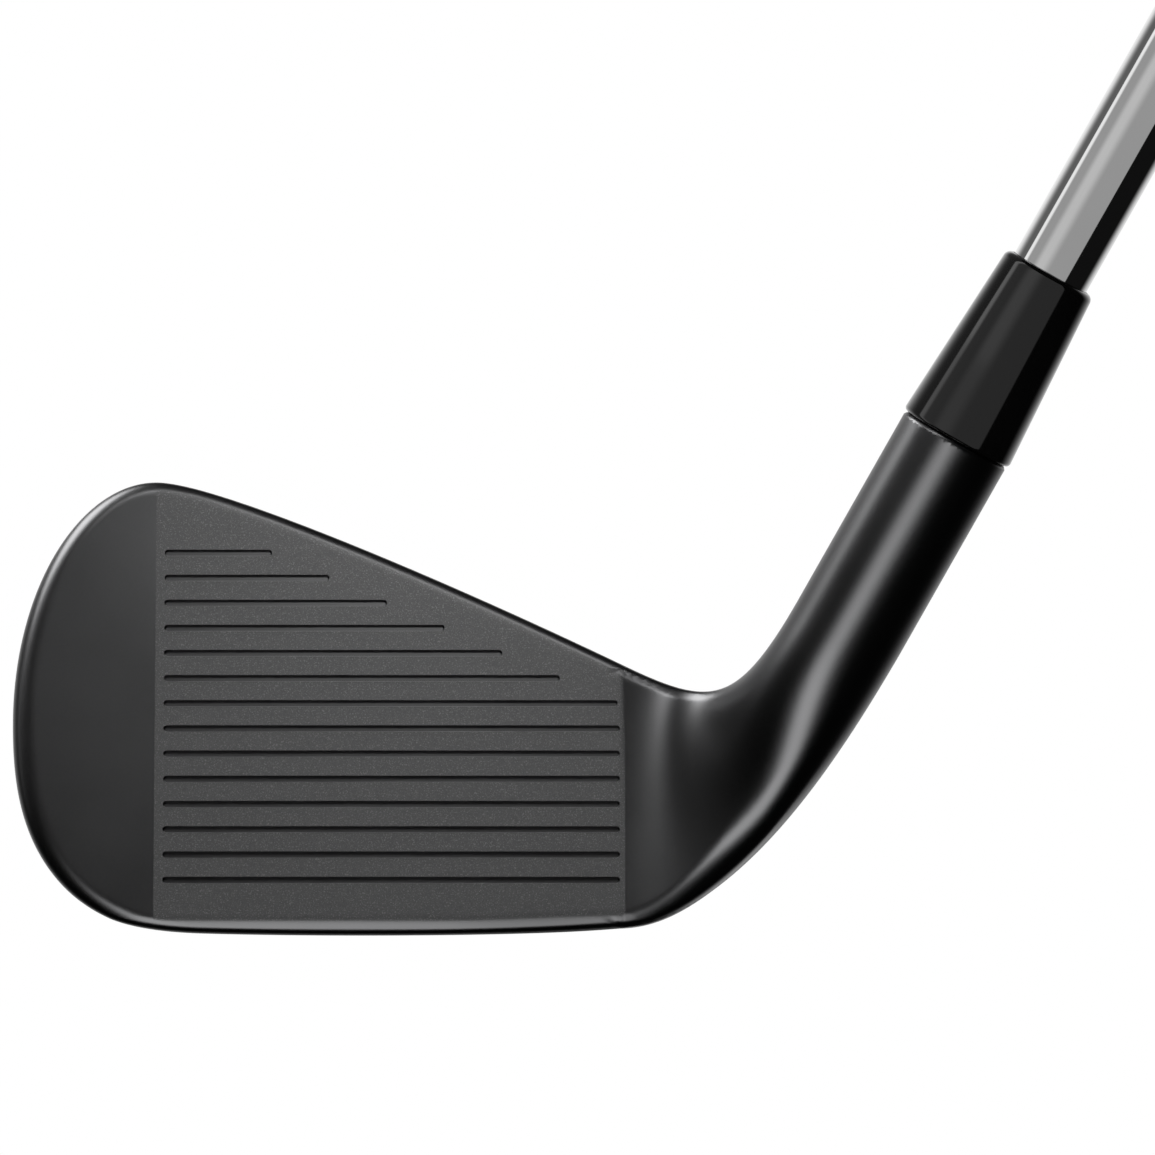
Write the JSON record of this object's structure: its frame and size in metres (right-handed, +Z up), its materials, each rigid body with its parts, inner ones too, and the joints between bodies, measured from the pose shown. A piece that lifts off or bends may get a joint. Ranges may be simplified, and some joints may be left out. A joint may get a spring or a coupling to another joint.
{
  "type": "iron golf club",
  "caption": "Right-handed iron golf club: hollow-body head with a grooved face plate, stepped steel shaft, ferrule and slip-on rubber grip.",
  "frame": {"origin": "where the shaft's axis meets the ground, with the club at address", "axes": "+X from toe to heel and on up the shaft's lean, -Y the way the face looks, +Z up"},
  "size_m": [0.5685, 0.0368, 0.857],
  "materials": {
    "black_steel": "satin black coating on forged steel",
    "blasted_steel": "dark grey, media-blasted",
    "foam": "injected foam",
    "tungsten": "sintered tungsten",
    "screw_steel": "black oxide",
    "pad": "adhesive foam tape",
    "badge_metal": "brushed, plain",
    "epoxy": "cured adhesive",
    "brass": "machined",
    "ferrule_plastic": "polished black",
    "chrome": "mirror chrome",
    "band_film": "plain printed film, no lettering",
    "tape": "masking tape",
    "rubber": "matt moulded rubber"
  },
  "bodies": {
    "club": {"head_body": "black_steel", "face_plate": "blasted_steel", "core_foam": "foam", "toe_weight": "tungsten", "port_screw": "screw_steel", "badge_pad": "pad", "badge": "badge_metal", "hosel_adhesive": "epoxy", "swing_weight": "brass", "ferrule": "ferrule_plastic", "shaft": "chrome", "shaft_band": "band_film", "grip_tape": "tape", "grip_sleeve": "rubber", "grip_cap": "rubber"}
  },
  "joints": []
}
